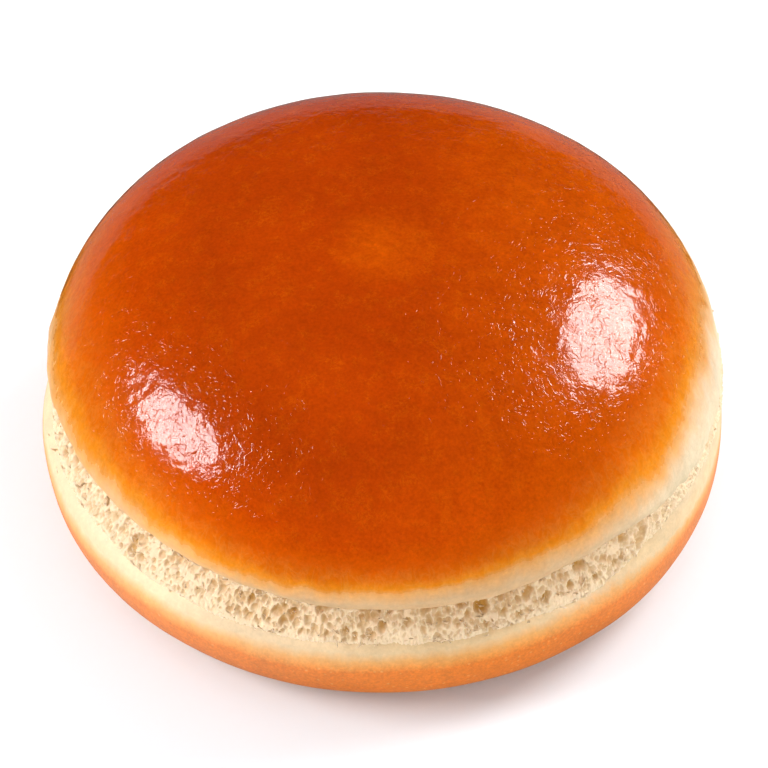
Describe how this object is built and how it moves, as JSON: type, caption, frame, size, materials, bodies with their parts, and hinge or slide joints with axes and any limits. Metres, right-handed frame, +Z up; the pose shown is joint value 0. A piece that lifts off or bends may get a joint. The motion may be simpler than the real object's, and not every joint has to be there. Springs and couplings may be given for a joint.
{
  "type": "glazed burger bun",
  "caption": "Round glazed bread bun with a domed crown, a flat baked foot and an open torn break of pale crumb round its waist.",
  "frame": {"origin": "centre of the flat foot that the bun rests on", "axes": "+Z up through the crown; the open side of the break faces -Y, and the break closes to a seam on the +X side"},
  "size_m": [0.105, 0.105, 0.0492],
  "materials": {
    "crust": "egg-glazed brown crust, glossy on the crown and satin on the heel",
    "crumb": "torn cream crumb, porous and matte"
  },
  "bodies": {
    "root": {"bun": "crust"}
  },
  "joints": []
}
